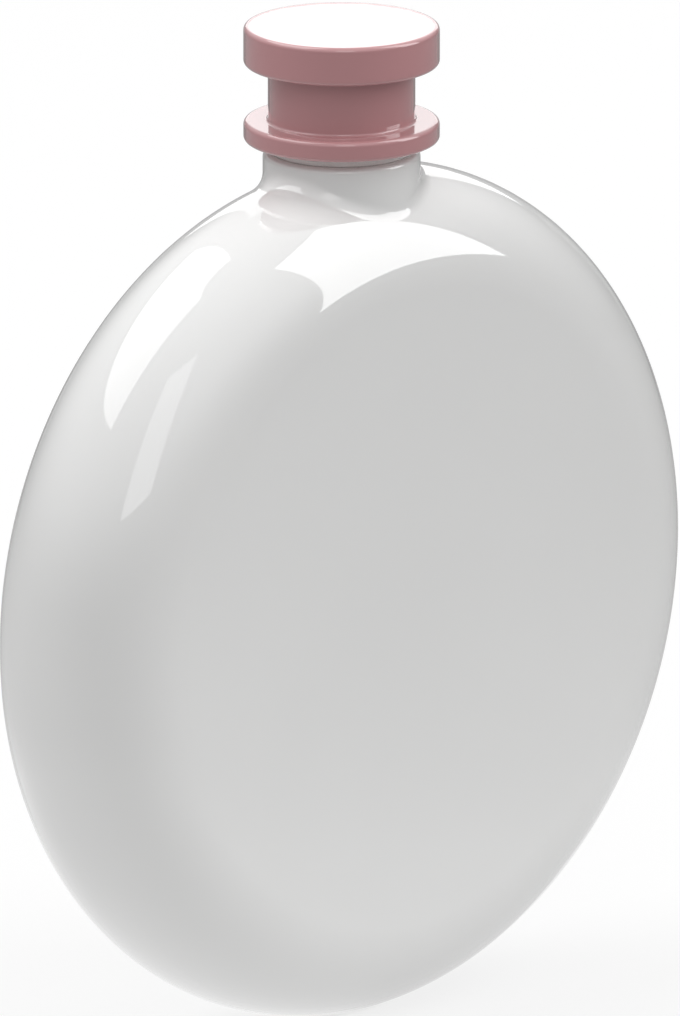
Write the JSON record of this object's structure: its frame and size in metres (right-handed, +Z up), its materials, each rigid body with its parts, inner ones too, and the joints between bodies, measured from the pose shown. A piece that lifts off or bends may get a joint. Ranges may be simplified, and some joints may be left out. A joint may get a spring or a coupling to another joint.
{
  "type": "hip flask",
  "caption": "Round, disc-shaped pocket flask for drink, glossy white with a full-round rim, a short blended neck and a spool-shaped pink screw cap.",
  "frame": {"origin": "lowest point of the round rim, under the neck's axis", "axes": "+Z up along the neck's axis, front face towards -Y, +X to the right seen from the front"},
  "size_m": [0.1, 0.025, 0.1168],
  "materials": {
    "white_lacquer": "gloss",
    "pink_lacquer": "gloss",
    "turned_steel": "satin",
    "pale_silicone": "satin",
    "white_plastic": "satin"
  },
  "bodies": {
    "flask": {"front_shell": "white_lacquer", "back_shell": "white_lacquer", "neck_collar": "white_lacquer", "threaded_spout": "turned_steel", "neck_gasket": "pale_silicone"},
    "seal": {"cap_seal": "pale_silicone"},
    "cap": {"cap_shell": "pink_lacquer", "cap_insert": "white_plastic"}
  },
  "joints": [
    {"name": "cap_rise", "type": "slide", "parent": "flask", "child": "seal", "axis": [0, 0, 1], "range_m": [0, 0.009]},
    {"name": "cap_turn", "type": "hinge", "parent": "seal", "child": "cap", "pos_m": [0, 0, 0.11], "axis": [0, 0, 1], "range_deg": [0, 1080]}
  ],
  "couplings": [
    {"joint": "cap_rise", "follows": "cap_turn", "m_per_rad": 0.00047746}
  ]
}
